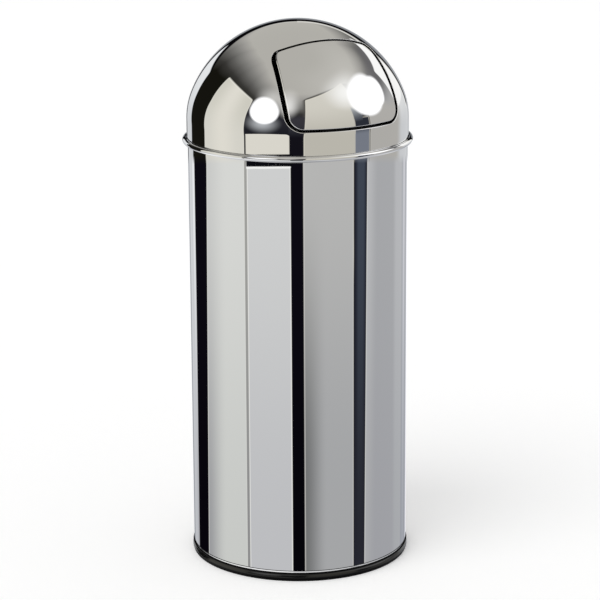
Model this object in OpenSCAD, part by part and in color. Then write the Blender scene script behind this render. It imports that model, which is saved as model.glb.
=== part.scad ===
// Dome top waste receptacle: a tall round steel bin with a lift-off domed lid,
// an inward push flap on a sprung hinge, and a lift-out liner with a bail handle.
// Millimetres, +Z up. The origin is the centre of the base, on the floor.
// The flap faces -Y, and left and right are as seen from in front of it.

/* [Body] */
// Outer radius of the body
body_r = 150; // [140:1:170]
// Sheet thickness of the body
body_wall = 0.8; // [0.6:0.1:1.2]
// Height of the centre of the rolled rim above the floor
rim_z = 587; // [450:1:700]
// Radius of the rolled rim's tube
rim_tube_r = 4; // [3.6:0.1:4.6]
// Angle that the end of a rolled rim stops short of its wall
curl_slit = 24; // [15:1:30]

/* [Base] */
// Sheet thickness of the base plate
base_wall = 0.8; // [0.6:0.1:1.2]
// Height of the underside of the base plate
base_rise = 14; // [13:1:25]
// Radius of the raised panel pressed into the base plate
panel_r = 105; // [80:1:115]
// Height that the panel is raised
panel_rise = 2; // [1:0.5:3]
// Thickness of the base seam outside the body
seam_wall = 0.5; // [0.4:0.1:0.8]
// Height of the seam that shows above the base ring
seam_show = 2.5; // [1:0.5:5]
// Height of the base ring
ring_h = 12; // [9:0.5:12]
// Thickness of the base ring under the seam
ring_floor = 2.2; // [1.5:0.1:4]
// Thickness of the base ring's outer wall
ring_outer = 1.3; // [1:0.1:3]
// Thickness of the base ring's inner wall
ring_inner = 1.5; // [1:0.1:3]
// Rounding of the base ring's lower edges
ring_round = 0.9; // [0.4:0.1:1]

/* [Dome] */
// Distance that the dome's skirt stands outside the body's radius
dome_over = 1.4; // [1.2:0.1:2]
// Sheet thickness of the dome
dome_wall = 0.8; // [0.6:0.1:1.2]
// Height of the dome's straight skirt
skirt_h = 24.5; // [20:0.5:35]
// Radius of the arc between the skirt and the crown
knuckle_r = 99; // [85:1:110]
// Crown radius beyond the skirt's radius
crown_over = 4.3; // [3:0.1:8]
// Gap between the dome's edge and the rolled rim it stands on
seat_gap = 0.3; // [0.2:0.05:0.4]

/* [Lid collar] */
// Sheet thickness of the locating collar
collar_wall = 0.8; // [0.6:0.1:1.2]
// Depth that the collar reaches under the dome's edge
collar_drop = 14.8; // [10:0.2:20]
// Height of the collar's welded flange above the dome's edge
collar_flange = 10; // [6:1:14]
// Radial clearance of the collar in the body's mouth
collar_fit = 0.6; // [0.4:0.1:1.2]

/* [Opening and flap] */
// Half of the opening's width, to the middle of the gap
open_half = 83.4; // [75:0.2:90]
// Radius of the opening's bowed sides
side_arc_r = 226; // [180:2:400]
// Height of the widest place above the sill
widest_up = 24; // [10:1:30]
// Height of the sill above the dome's edge, to the middle of the gap
sill_up = 33; // [31:0.5:45]
// Angle up the crown that the opening's top reaches, to the middle of the gap
top_angle = 61; // [57:0.5:64]
// Radius of the opening's arched top
top_arc_r = 200; // [160:10:300]
// Radius of the lower corners, to the middle of the gap
low_corner_r = 18; // [12:0.5:24]
// Radius of the upper corners, to the middle of the gap
top_corner_r = 21; // [12:0.5:26]
// Gap between flap and opening at the sides, seen from the front
side_gap = 5; // [3:0.5:6]
// Gap between flap and opening at the sill
sill_gap = 3.4; // [3.2:0.1:4]
// Gap between flap and opening at the top, seen from the front
top_gap = 1.5; // [1.2:0.1:2]
// Depth of the turned edges behind their sheet
turn_depth = 1.2; // [0.8:0.1:1.3]
// Thickness of the turned edges
turn_wall = 0.8; // [0.6:0.1:1]
// Sheet thickness of the flap
flap_wall = 0.8; // [0.6:0.1:1.2]
// Distance that the flap's face lies inside the dome's face
flap_recess = 0.3; // [0.2:0.1:0.8]

/* [Flap hinge] */
// Radius of the hinge rod
rod_r = 2.5; // [2:0.1:3]
// Half of the hinge rod's length
rod_half = 66; // [65.5:0.5:68]
// Depth of the rod's axis under the crown's face
hinge_depth = 26; // [24:0.5:30]
// Angle that the rod lies behind the opening's top
hinge_back = 2; // [1.8:0.2:4]
// Radial running clearance of the flap's ears on the rod
hinge_fit = 0.06; // [0.02:0.01:0.1]
// Radial clearance of the fixed pieces on the rod
rod_seat = 0.02; // [0.01:0.01:0.05]
// Distance from the middle to the inner face of each flap ear
ear_x = 50; // [44:0.5:50]
// Sheet thickness of the flap ears
ear_wall = 1.5; // [1.2:0.1:2]
// Radius of the eyes of the ears and lugs
eye_r = 6; // [5:0.5:7]
// Distance from the middle to the inner face of each hinge lug
lug_x = 60; // [59.5:0.5:61]
// Sheet thickness of the hinge lugs
lug_wall = 2; // [1.5:0.1:2.4]
// Width of each lug's welded foot
lug_foot = 9; // [6:0.5:11]
// Radius of the push-on rod caps
cap_r = 4.8; // [4.2:0.1:5.5]
// Thickness of the rod caps
cap_wall = 1.6; // [1:0.1:2]

/* [Flap spring] */
// Wire radius of the torsion springs
wire_r = 0.5; // [0.4:0.05:0.6]
// Play between the rod and the spring's coil
coil_play = 0.8; // [0.5:0.1:1]
// Turns of each spring
coil_turns = 4; // [3:1:4]
// Length of each spring's leg on the flap
flap_leg = 20; // [12:1:22]
// Length of each spring's leg at the lug
lug_leg = 7; // [4:0.5:8]

/* [Flap stop] */
// Half angle that the stop strip spans round the dome
strip_angle = 17; // [12:1:20]
// Sheet thickness of the stop strip
strip_wall = 1.2; // [1:0.1:1.5]
// Height of the strip's welded leg
strip_weld = 8; // [5:0.5:12]
// Distance that the strip reaches below the sill
strip_drop = 14; // [13:0.5:15]
// Length of each rubber bumper between strip and dome
bumper_len = 4; // [3:0.1:5]
// Radius of the bumpers
bumper_r = 4.5; // [3:0.5:5]
// Angle of each bumper round the dome from the middle
bumper_angle = 12; // [6:1:12]
// Gap between the closed flap's bumpers and the dome
bumper_gap = 0.3; // [0.2:0.05:0.4]

/* [Liner] */
// Clearance between the liner's rolled rim and the body
liner_fit = 2.8; // [2.5:0.1:4]
// Sheet thickness of the liner
liner_wall_t = 0.6; // [0.5:0.1:1]
// Radius of the liner's rolled rim
liner_tube_r = 3.5; // [3:0.1:4]
// Clearance round the wire inside the liner's rolled rim
liner_wire_fit = 0.25; // [0.1:0.05:0.5]
// Gap between the liner's foot and the base plate
foot_gap = 0.3; // [0.2:0.05:0.4]
// Height of the liner's floor above its foot
liner_recess = 6; // [5:0.5:12]
// Height of the flange that joins the liner's floor to its wall
floor_flange = 5; // [3:0.5:5]

/* [Bail] */
// Radius of the bail's wire
bail_wire_r = 2.5; // [2:0.1:2.8]
// Radius of the bail's pivot pins
pivot_r = 2.2; // [1.8:0.1:2.2]
// Radial running clearance of the pins in the liner's ears
pivot_fit = 0.06; // [0.02:0.01:0.1]
// Clearance between the bail's wire and the ears
bail_clear = 0.5; // [0.4:0.1:0.8]
// Radius of the sleeve that is the bail's grip
grip_r = 3.9; // [3.6:0.1:4]
// Clearance of the sleeve on the wire
grip_fit = 0.02; // [0.01:0.01:0.05]
// Half angle that the grip spans
grip_angle = 24; // [15:1:35]
// Gap between the lying grip and the liner's rim
grip_gap = 0.3; // [0.2:0.05:0.4]
// Headroom between the lying bail and the lid's collar
headroom = 3; // [2:0.5:8]
// Sheet thickness of the liner's ears
liner_ear_t = 1.5; // [1.2:0.1:2]
// Half of the width of each liner ear
liner_ear_half = 13; // [11:0.5:16]
// Length of each liner ear under the pivot
liner_ear_drop = 38; // [32:1:45]
// Height of each liner ear above the pivot
liner_ear_top = 6.5; // [5:0.5:8]
// Radius of the ear rivets
rivet_r = 2; // [1.5:0.1:2.2]
// Radius of the rivets' heads
rivet_head_r = 3.6; // [3:0.1:4]
// Thickness of the rivets' heads
rivet_head_t = 1.1; // [0.8:0.1:1.4]
// Distance of the upper rivets under the pivot
rivet_drop = 20; // [18:0.5:22]
// Spacing of the two rivets of an ear
rivet_pitch = 11; // [9:0.5:12]

/* [Hidden] */
$fn = 96;

arc_step = 6; // degrees between the points of a drawn arc
far = 400; // longer than any radius, for wedges and cutters

// Body and base
body_in = body_r - body_wall;
base_z = ring_floor + base_wall; // where the body's sheet starts
seam_r = body_r + seam_wall;
seam_in = body_in - base_wall;
seam_top = ring_h + seam_show;
ring_out_r = seam_r + ring_outer;
ring_in_r = seam_in - ring_inner;
floor_top = base_rise + base_wall;

// Dome: a straight skirt, a knuckle arc tangent to it, and a crown arc tangent to that
dome_r = body_r + dome_over;
dome_in = dome_r - dome_wall;
rim_c = curl_centre(body_in, body_wall, rim_tube_r);
seat_z = rim_z + sqrt(pow(rim_tube_r, 2) - pow(rim_c - dome_r, 2)) + seat_gap;
knuckle_c = dome_r - knuckle_r;
knuckle_z = seat_z + skirt_h;
crown_r = dome_r + crown_over;
crown_z = knuckle_z - sqrt(pow(crown_r - knuckle_r, 2) - pow(knuckle_c, 2));
knuckle_c0 = [knuckle_c, knuckle_z];
crown_c0 = [0, crown_z];
join_far = crown_c0 + far * (knuckle_c0 - crown_c0) / norm(knuckle_c0 - crown_c0);

// Collar
collar_r = body_in - collar_fit;
collar_low = seat_z - collar_drop;

// Opening and flap
sill_z = seat_z + sill_up;
open_top = crown_z + crown_r * sin(top_angle);
flap_out = flap_recess;
flap_in = flap_recess + flap_wall;
turned = turn_depth + turn_wall / 2; // a turned edge starts half way into its sheet

// Hinge axis, along X, given as distance in front of the middle and height
hinge_angle = top_angle + hinge_back;
hinge_y = (crown_r - hinge_depth) * cos(hinge_angle);
hinge_z = crown_z + (crown_r - hinge_depth) * sin(hinge_angle);
coil_r = rod_r + coil_play + wire_r;
coil_from = 90; // the coil starts on top of the rod, and its leg runs forwards to the flap
coil_to = coil_from + 360 * coil_turns - 37; // and ends where its leg runs back and up
ear_from = -5; // an ear's fan, in degrees across the hinge
ear_to = 34;
lug_from = 114; // a lug's fan, behind the opening's turned edge
lug_to = 142;
coil_side = 0.5; // gap between the coil and the pieces beside it
coil_start = ear_x + ear_wall + coil_side + wire_r;
coil_pitch = (lug_x - coil_side - wire_r - coil_start) / coil_turns;
spring_step = 24; // degrees between the rings of the coil
spring_sides = 8;

// Stop strip
tab_r = dome_in - bumper_gap - bumper_len;
strip_top = sill_z + sill_gap / 2 + turn_wall + 1 + strip_weld;
strip_web = strip_top - strip_weld;
bumper_z = sill_z - strip_drop + bumper_r;

// Liner
liner_r = body_in - liner_fit - 2 * liner_tube_r + liner_wall_t * 7 / 8;
liner_in = liner_r - liner_wall_t;
liner_c = curl_centre(liner_in, liner_wall_t, liner_tube_r);
pivot_z = collar_low - headroom - grip_r;
liner_rim_z = pivot_z - grip_r - grip_gap - liner_tube_r;
liner_foot = floor_top + foot_gap;
liner_floor = liner_foot + liner_recess;

// Bail
bail_r = liner_in + bail_clear + bail_wire_r;
ear_in = liner_in - liner_ear_t;
pin_end = 0.8; // gap between an ear and the upset end of the pin behind it
pin_head_r = 3.4;
pin_head_t = 1.2;
bail_past = asin((pivot_r + 0.2) / bail_r); // the wire runs on past the pins by this angle
rivet_fit = 0.02;
rivet_x = sqrt(pow(ear_in, 2) - pow(rivet_head_r, 2)); // a flat head's seat on the ear's curve

// Distance of a rolled rim's centre from the axis: its tube starts in the wall's own thickness
function curl_centre(inner, wall, tube) = inner + wall / 8 + tube;

function arc(centre, r, from, to) =
  let (n = max(2, ceil(abs(to - from) / arc_step)))
  [for (i = [0:n]) let (a = from + (to - from) * i / n) centre + r * [cos(a), sin(a)]];

// Where two circles meet, on the left of the line from the first centre to the second
function meet(c1, r1, c2, r2) =
  let (d = norm(c2 - c1), u = (c2 - c1) / d, k = (d * d + r1 * r1 - r2 * r2) / (2 * d))
  c1 + k * u + sqrt(r1 * r1 - k * k) * [-u[1], u[0]];

// Right half of the opening's outline, seen from the front, from the sill to the top.
// The sides, sill, top and corners are each moved outwards by their own distance.
function half_outline(side, sill, top, corner) =
  let (
    low_r = low_corner_r + corner,
    high_r = top_corner_r + corner,
    side_r = side_arc_r + side,
    side_c = [open_half - side_arc_r, sill_z + widest_up],
    top_r = top_arc_r + top,
    top_c = [0, open_top - top_arc_r],
    low_z = sill_z - sill + low_r,
    low_c = [side_c[0] + sqrt(pow(side_r - low_r, 2) - pow(low_z - side_c[1], 2)), low_z],
    high = meet(side_c, side_r - high_r, top_c, top_r - high_r),
    a_low = atan2(low_c[1] - side_c[1], low_c[0] - side_c[0]),
    a_high = atan2(high[1] - side_c[1], high[0] - side_c[0]),
    a_top = atan2(high[1] - top_c[1], high[0] - top_c[0])
  )
  concat(arc(low_c, low_r, -90, a_low), arc(side_c, side_r, a_low, a_high),
         arc(high, high_r, a_high, a_top), arc(top_c, top_r, a_top, 90));

module outline(side, sill, top, corner) {
  half = half_outline(side, sill, top, corner);
  n = len(half);
  polygon(concat(half, [for (i = [n - 2:-1:0]) [-half[i][0], half[i][1]]]));
}

module opening_outline(grow = 0)
  outline(side_gap / 2 + grow, sill_gap / 2 + grow, top_gap / 2 + grow, side_gap / 2 + grow);

module flap_outline(grow = 0)
  outline(-side_gap / 2 + grow, -sill_gap / 2 + grow, -top_gap / 2 + grow, -side_gap / 2 + grow);

// Pushes a front outline through the front of the dome
module through_front() rotate([90, 0, 0]) translate([0, 0, hinge_y / 2]) linear_extrude(far) children();

module wedge(centre, from, to)
  polygon([centre, for (i = [0:2]) let (a = from + (to - from) * i / 2) centre + far * [cos(a), sin(a)]]);

// Half sections, down to the axis, of what lies deeper than a depth under the dome's face.
// The three overlap, and the crown's ends on the line through both arcs' centres.
module skirt_space(depth, below) translate([0, seat_z - below]) square([dome_r - depth, skirt_h + below]);

module knuckle_space(depth) intersection() {
  translate(knuckle_c0) circle(knuckle_r - depth);
  translate([0, knuckle_z - skirt_h / 2]) square(far);
}

module crown_space(depth) intersection() {
  translate(crown_c0) circle(crown_r - depth);
  polygon([crown_c0, join_far, crown_c0 + [far, far], crown_c0 + [0, far]]);
}

// All that lies deeper than a depth under the dome's face, and on below its edge by a distance
module dome_space(depth, below = 0) {
  rotate_extrude() skirt_space(depth, below);
  rotate_extrude() knuckle_space(depth);
  rotate_extrude() crown_space(depth);
}

// The sheet between two depths under the dome's face
module dome_shell(outer, inner) difference() {
  dome_space(outer);
  dome_space(inner, 1);
}

// A wall with a rolled rim: the tube runs over the top and stops short of the wall
module rolled_section(inner, wall, low, top, tube) {
  centre = curl_centre(inner, wall, tube);
  translate([inner, low]) square([wall, top - low]);
  difference() {
    translate([centre, top]) circle(tube);
    translate([centre, top]) circle(tube - wall);
    wedge([centre, top], 205, 205 + curl_slit);
  }
}

module body_shell() color("gainsboro")
  rotate_extrude() rolled_section(body_in, body_wall, base_z, rim_z, rim_tube_r);

module base_plate() color("silver") rotate_extrude() {
  translate([panel_r - base_wall, base_rise]) square([body_in - panel_r + base_wall, base_wall]);
  translate([0, base_rise + panel_rise]) square([panel_r, base_wall]);
  translate([panel_r - base_wall, base_rise]) square([base_wall, panel_rise + base_wall]);
  translate([seam_in, ring_floor]) square([base_wall, floor_top - ring_floor]);
  translate([seam_in, ring_floor]) square([seam_r - seam_in, base_wall]);
  translate([body_r, ring_floor]) square([seam_wall, seam_top - ring_floor]);
}

module base_ring() color([0.06, 0.06, 0.06]) rotate_extrude() difference() {
  polygon(concat(arc([ring_in_r + ring_round, ring_round], ring_round, 180, 270),
                 arc([ring_out_r - ring_round, ring_round], ring_round, 270, 360),
                 arc([ring_out_r - ring_round, ring_h - ring_round], ring_round, 0, 90),
                 [[ring_in_r, ring_h]]));
  translate([seam_in, ring_floor]) square([seam_r - seam_in, ring_h]);
}

module dome_lid() color("gainsboro") {
  difference() {
    dome_shell(0, dome_wall);
    through_front() opening_outline();
  }
  intersection() {
    dome_shell(dome_wall - turn_wall / 2, dome_wall - turn_wall / 2 + turned);
    through_front() difference() {
      opening_outline(turn_wall);
      opening_outline();
    }
  }
}

module lid_collar() color("silver") rotate_extrude() {
  translate([collar_r - collar_wall, collar_low]) square([collar_wall, collar_drop + collar_wall]);
  translate([collar_r - collar_wall, seat_z]) square([dome_in - collar_r + collar_wall, collar_wall]);
  translate([dome_in - collar_wall, seat_z]) square([collar_wall, collar_flange]);
}

// Direction across the hinge axis: 0 is forwards, 90 is up and 180 is backwards
function across(a) = [-cos(a), sin(a)];

// Turns a shape drawn as [Y, Z] into a plate across X
module plate_at(x, wall) translate([x, 0, 0]) rotate([90, 0, 90]) linear_extrude(wall) children();

module hinge_fan(from, to)
  polygon([[-hinge_y, hinge_z],
           for (i = [0:2]) [-hinge_y, hinge_z] + far / 4 * across(from + (to - from) * i / 2)]);

// A plate with an eye on the hinge axis, fanning out to the sheet that it is welded to
module hinge_plate(x, wall, depth, from, to, fit) difference() {
  intersection() {
    union() {
      on_hinge(x) cylinder(r = eye_r, h = wall);
      plate_at(x, wall) hinge_fan(from, to);
    }
    dome_space(depth);
  }
  on_hinge(x - 1) cylinder(r = rod_r + fit, h = wall + 2);
}

// Moves a piece drawn along +Z to the hinge axis, running to +X
module on_hinge(x) translate([x, -hinge_y, hinge_z]) rotate([0, 90, 0]) children();

// Draws a piece on the right, or its mirror image on the left
module on_side(side) mirror([side < 0 ? 1 : 0, 0, 0]) children();

module hinge_lug(side) color("silver") on_side(side) {
  hinge_plate(lug_x, lug_wall, dome_wall, lug_from, lug_to, rod_seat);
  intersection() {
    plate_at(lug_x, lug_wall + lug_foot) hinge_fan(lug_from, lug_to);
    dome_shell(dome_wall, dome_wall + lug_wall);
  }
}

module hinge_rod() color("silver") on_hinge(-rod_half) cylinder(r = rod_r, h = 2 * rod_half);

module rod_cap(side) color("dimgray") on_side(side) on_hinge(lug_x + lug_wall) difference() {
  cylinder(r = cap_r, h = cap_wall);
  translate([0, 0, -1]) cylinder(r = rod_r + rod_seat, h = cap_wall + 2);
}

module flap_panel() color("gainsboro") {
  intersection() {
    dome_shell(flap_out, flap_in);
    through_front() flap_outline();
  }
  intersection() {
    dome_shell(flap_in - turn_wall / 2, flap_in - turn_wall / 2 + turned);
    through_front() difference() {
      flap_outline();
      flap_outline(-turn_wall);
    }
  }
}

module flap_ear(side) color("silver") on_side(side)
  hinge_plate(ear_x, ear_wall, flap_in, ear_from, ear_to, hinge_fit);

// Points along the spring's wire: the leg on the flap, the coil, and the leg at the lug
function coil_point(a) =
  let (yz = [-hinge_y, hinge_z] + coil_r * across(a))
  [coil_start + coil_pitch * (a - coil_from) / 360, yz[0], yz[1]];
function coil_way(a) = [0, sin(a), cos(a)];
function spring_path() = concat(
  [coil_point(coil_from) - flap_leg * coil_way(coil_from)],
  [for (a = [coil_from:spring_step:coil_to]) coil_point(a)],
  [coil_point(coil_to) + lug_leg * coil_way(coil_to)]);

// A round wire along points that wind about the X axis
module wire(points, r, sides) {
  n = len(points);
  rings = [for (i = [0:n - 1])
    let (
      before = points[max(i - 1, 0)],
      after = points[min(i + 1, n - 1)],
      way = (after - before) / norm(after - before),
      out = cross(way, [1, 0, 0]) / norm(cross(way, [1, 0, 0])),
      up = cross(way, out)
    )
    [for (j = [0:sides - 1]) points[i] + r * (cos(360 * j / sides) * out + sin(360 * j / sides) * up)]];
  polyhedron(
    points = [for (ring = rings) for (p = ring) p],
    faces = concat(
      [[for (j = [0:sides - 1]) j]],
      [for (i = [0:n - 2]) for (j = [0:sides - 1]) let (k = (j + 1) % sides)
        each [[i * sides + j, (i + 1) * sides + j, i * sides + k],
              [i * sides + k, (i + 1) * sides + j, (i + 1) * sides + k]]],
      [[for (j = [sides - 1:-1:0]) (n - 1) * sides + j]]));
}

module flap_spring(side) color("slategray") on_side(side) wire(spring_path(), wire_r, spring_sides);

// Sweeps a half section round the front by an angle to each side
module round_front(half_angle)
  rotate([0, 0, -90 - half_angle]) rotate_extrude(angle = 2 * half_angle) children();

module stop_strip() color("silver") {
  round_front(strip_angle) translate([tab_r - strip_wall, sill_z - strip_drop])
    square([strip_wall, strip_web + strip_wall - sill_z + strip_drop]);
  intersection() {
    dome_space(flap_in);
    round_front(strip_angle) translate([tab_r - strip_wall, strip_web]) square([dome_r - tab_r, strip_wall]);
  }
  intersection() {
    dome_shell(flap_in, flap_in + strip_wall);
    round_front(strip_angle) translate([0, strip_web]) square([far, strip_weld]);
  }
}

module stop_bumper(side) color([0.08, 0.08, 0.08]) on_side(side)
  rotate([0, 0, bumper_angle]) translate([0, -tab_r, bumper_z]) rotate([90, 0, 0])
    cylinder(r = bumper_r, h = bumper_len);

module liner_wall() color("lightslategray") difference() {
  rotate_extrude() rolled_section(liner_in, liner_wall_t, liner_foot, liner_rim_z, liner_tube_r);
  liner_rivet_holes();
}

module liner_base() color("lightslategray") rotate_extrude() {
  translate([0, liner_floor]) square([liner_in, liner_wall_t]);
  translate([liner_in - liner_wall_t, liner_floor - floor_flange])
    square([liner_wall_t, floor_flange + liner_wall_t]);
}

module liner_rim_wire() color("gray") rotate_extrude()
  translate([liner_c, liner_rim_z]) circle(liner_tube_r - liner_wall_t - liner_wire_fit);

module liner_ear(side) color("silver") on_side(side) difference() {
  intersection() {
    rotate_extrude() translate([ear_in, pivot_z - liner_ear_drop])
      square([liner_ear_t, liner_ear_drop + liner_ear_top]);
    translate([0, -liner_ear_half, 0]) cube([far, 2 * liner_ear_half, 2 * far]);
  }
  along_x(0, pivot_z) cylinder(r = pivot_r + pivot_fit, h = far);
  liner_rivet_holes();
}

// Moves a piece drawn along +Z to run to +X, in the middle and at a height
module along_x(x, z) translate([x, 0, z]) rotate([0, 90, 0]) children();

module each_rivet() for (side = [-1, 1]) for (i = [0, 1])
  on_side(side) translate([0, 0, pivot_z - rivet_drop - i * rivet_pitch]) children();

module liner_rivet_holes() each_rivet() along_x(ear_in / 2, 0) cylinder(r = rivet_r + rivet_fit, h = far);

module liner_ear_rivets() color("silver") each_rivet() {
  along_x(rivet_x, 0) cylinder(r = rivet_r, h = liner_r - rivet_x);
  along_x(rivet_x - rivet_head_t, 0) cylinder(r = rivet_head_r, h = rivet_head_t);
  along_x(liner_r, 0) cylinder(r = rivet_head_r, h = rivet_head_t);
}

module bail_wire() color("silver") {
  translate([0, 0, pivot_z]) rotate([0, 0, -bail_past])
    rotate_extrude(angle = 180 + 2 * bail_past) translate([bail_r, 0]) circle(bail_wire_r);
  for (side = [-1, 1]) on_side(side) {
    along_x(ear_in - pin_end, pivot_z) cylinder(r = pivot_r, h = bail_r - ear_in + pin_end);
    along_x(ear_in - pin_end - pin_head_t, pivot_z) cylinder(r = pin_head_r, h = pin_head_t);
  }
}

module bail_grip() color([0.1, 0.1, 0.1]) translate([0, 0, pivot_z]) rotate([0, 0, 90 - grip_angle])
  rotate_extrude(angle = 2 * grip_angle) translate([bail_r, 0]) difference() {
    circle(grip_r);
    circle(bail_wire_r + grip_fit);
  }

body_shell();
base_plate();
base_ring();
dome_lid();
lid_collar();
hinge_lug(-1);  // hinge_lug_left
hinge_lug(1);  // hinge_lug_right
hinge_rod();
rod_cap(-1);  // rod_cap_left
rod_cap(1);  // rod_cap_right
flap_panel();
flap_ear(-1);  // flap_ear_left
flap_ear(1);  // flap_ear_right
flap_spring(-1);  // flap_spring_left
flap_spring(1);  // flap_spring_right
stop_strip();
stop_bumper(-1);  // stop_bumper_left
stop_bumper(1);  // stop_bumper_right
liner_wall();
liner_base();
liner_rim_wire();
liner_ear(-1);  // liner_ear_left
liner_ear(1);  // liner_ear_right
liner_ear_rivets();
bail_wire();
bail_grip();
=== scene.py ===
import math

import bpy
from mathutils import Matrix, Vector


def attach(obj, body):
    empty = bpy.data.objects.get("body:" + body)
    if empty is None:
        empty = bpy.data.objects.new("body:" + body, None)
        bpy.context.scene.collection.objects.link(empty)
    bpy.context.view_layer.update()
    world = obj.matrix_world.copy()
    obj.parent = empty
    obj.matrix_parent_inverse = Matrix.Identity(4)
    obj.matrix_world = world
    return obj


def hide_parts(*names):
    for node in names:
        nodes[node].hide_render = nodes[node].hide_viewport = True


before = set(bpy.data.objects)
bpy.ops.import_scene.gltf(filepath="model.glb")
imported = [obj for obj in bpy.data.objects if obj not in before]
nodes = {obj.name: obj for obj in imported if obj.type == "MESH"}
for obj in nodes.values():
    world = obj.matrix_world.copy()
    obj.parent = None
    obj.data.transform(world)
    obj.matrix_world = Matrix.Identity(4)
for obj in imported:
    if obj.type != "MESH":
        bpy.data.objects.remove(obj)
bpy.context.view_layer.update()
scene = bpy.context.scene
scene.view_settings.view_transform = "Standard"
mm = 0.001
front = 28.9  # degrees that the camera stands to the left of the flap's front


def linearColour(text):
    # an sRGB hex colour as the linear colour that the nodes take
    parts = [int(text[i : i + 2], 16) / 255 for i in (0, 2, 4)]
    return tuple(c / 12.92 if c <= 0.04045 else ((c + 0.055) / 1.055) ** 2.4 for c in parts) + (1.0,)


def setInputs(tree, node, inputs):
    # sets or links a node's inputs, from values, hex colours, sockets, or nodes for their first output
    for key, value in inputs.items():
        if isinstance(value, str):
            value = linearColour(value)
        if isinstance(value, bpy.types.Node):
            value = value.outputs[0]
        if isinstance(value, bpy.types.NodeSocket):
            tree.links.new(value, node.inputs[key])
        else:
            node.inputs[key].default_value = value


def addNode(tree, kind, inputs=None, **settings):
    made = tree.nodes.new("ShaderNode" + kind)
    for name, value in settings.items():
        setattr(made, name, value)
    setInputs(tree, made, inputs or {})
    return made


def setStops(ramp, stops):
    # colour stops of a ramp, as (position, hex colour or grey), in rising order
    bar = ramp.color_ramp.elements
    bar.remove(bar[1])
    for count, (position, colour) in enumerate(stops):
        element = bar.new(position) if count else bar[0]
        element.position = position
        element.color = linearColour(colour) if isinstance(colour, str) else (colour, colour, colour, 1)


# camera

cameraFacts = {
    "distance": 3.260,  # metres from the bin's middle
    "height": 1.2146,
    "lens": 145.7,  # mm, for a sensor 36 mm wide
    "sensor": 36.0,
    "clip": (0.05, 100.0),
    "yaw": 0.00058,  # radians
    "pitch": 0.2570,
    "roll": -0.0056,
}


def makeCamera():
    facts = cameraFacts
    lens = bpy.data.cameras.new("productCamera")
    lens.lens, lens.sensor_width = facts["lens"], facts["sensor"]
    lens.clip_start, lens.clip_end = facts["clip"]
    camera = bpy.data.objects.new("productCamera", lens)
    scene.collection.objects.link(camera)
    heading = math.radians(front)
    place = Vector((-math.sin(heading), -math.cos(heading), 0)) * facts["distance"]
    place.z = facts["height"]
    turn = (
        Matrix.Rotation(-heading - facts["yaw"], 4, "Z")
        @ Matrix.Rotation(math.pi / 2 - facts["pitch"], 4, "X")
        @ Matrix.Rotation(facts["roll"], 4, "Z")
    )
    camera.matrix_world = Matrix.Translation(place) @ turn
    scene.camera = camera
    print("camera at", [round(v, 3) for v in place])


makeCamera()

# shapes, in millimetres as in the construction

domeFacts = {
    "seatZ": 590.82,  # the dome's edge
    "skirtR": 151.4,
    "skirtH": 24.5,
    "kneeC": (52.4, 615.32),  # middle of the bend between skirt and crown
    "kneeR": 99.0,
    "crownZ": 593.6605,
    "crownR": 155.7,
    "wall": 0.8,
}
# slope of the face where the knee meets the crown
kneeEnd = math.atan2(domeFacts["kneeC"][1] - domeFacts["crownZ"], domeFacts["kneeC"][0])


def evenSteps(start, end, count):
    return [start + (end - start) * i / count for i in range(count + 1)]


def domeProfile(z, depth):
    # radius of the dome at a height, at a depth under its face, and the face's slope there
    facts = domeFacts
    kneeX, kneeZ = facts["kneeC"]
    kneeR, crownR = facts["kneeR"] - depth, facts["crownR"] - depth
    if z <= kneeZ:
        return facts["skirtR"] - depth, 0.0
    if z <= facts["crownZ"] + crownR * math.sin(kneeEnd):
        slope = math.asin(min(1.0, (z - kneeZ) / kneeR))
        return kneeX + kneeR * math.cos(slope), slope
    slope = math.asin(min(1.0, (z - facts["crownZ"]) / crownR))
    return crownR * math.cos(slope), slope


def domeAlong(s, depth):
    # radius, height and slope at a distance along the dome's face, counted from its edge
    facts = domeFacts
    kneeX, kneeZ = facts["kneeC"]
    if s <= facts["skirtH"]:
        return facts["skirtR"] - depth, facts["seatZ"] + s, 0.0
    slope = (s - facts["skirtH"]) / facts["kneeR"]
    if slope <= kneeEnd:
        reach = facts["kneeR"] - depth
        return kneeX + reach * math.cos(slope), kneeZ + reach * math.sin(slope), slope
    slope = min(math.pi / 2, kneeEnd + (s - facts["skirtH"] - kneeEnd * facts["kneeR"]) / facts["crownR"])
    reach = facts["crownR"] - depth
    return reach * math.cos(slope), facts["crownZ"] + reach * math.sin(slope), slope


def crownDistance(slope):
    # distance along the face, from the dome's edge, of where the crown has a slope
    facts = domeFacts
    return facts["skirtH"] + kneeEnd * facts["kneeR"] + (slope - kneeEnd) * facts["crownR"]


def domeDistance(z, depth):
    # distance along the face, from the dome's edge, of a point at a height and a depth
    facts = domeFacts
    if z <= facts["kneeC"][1]:
        return z - facts["seatZ"]
    slope = domeProfile(z, depth)[1]
    return facts["skirtH"] + slope * facts["kneeR"] if slope <= kneeEnd else crownDistance(slope)


def roundPoint(angle, r, z, slope):
    # a point and its outward normal, at an angle round from the front
    x, y = math.sin(angle), -math.cos(angle)
    return (x * r, y * r, z), (x * math.cos(slope), y * math.cos(slope), math.sin(slope))


def frontPoint(x, z, depth):
    # the point behind a place in the front view, at a depth under the dome's face
    r, slope = domeProfile(z, depth)
    angle = math.asin(max(-1.0, min(1.0, x / r)))
    return roundPoint(angle, r, z, slope)


openingFacts = {  # the opening in the front view, to the middle of the flap's gap
    "half": 83.4,  # half its width, at the widest place
    "sideR": 226.0,
    "widestUp": 24.0,  # from the sill up to the widest place
    "sillZ": 623.82,
    "topZ": 729.838,
    "topR": 200.0,
    "lowR": 18.0,  # corners
    "highR": 21.0,
    "halfGaps": (2.5, 1.7, 0.75),  # half the gap at the sides, the sill and the top
    "arcSteps": 400,
}


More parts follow.
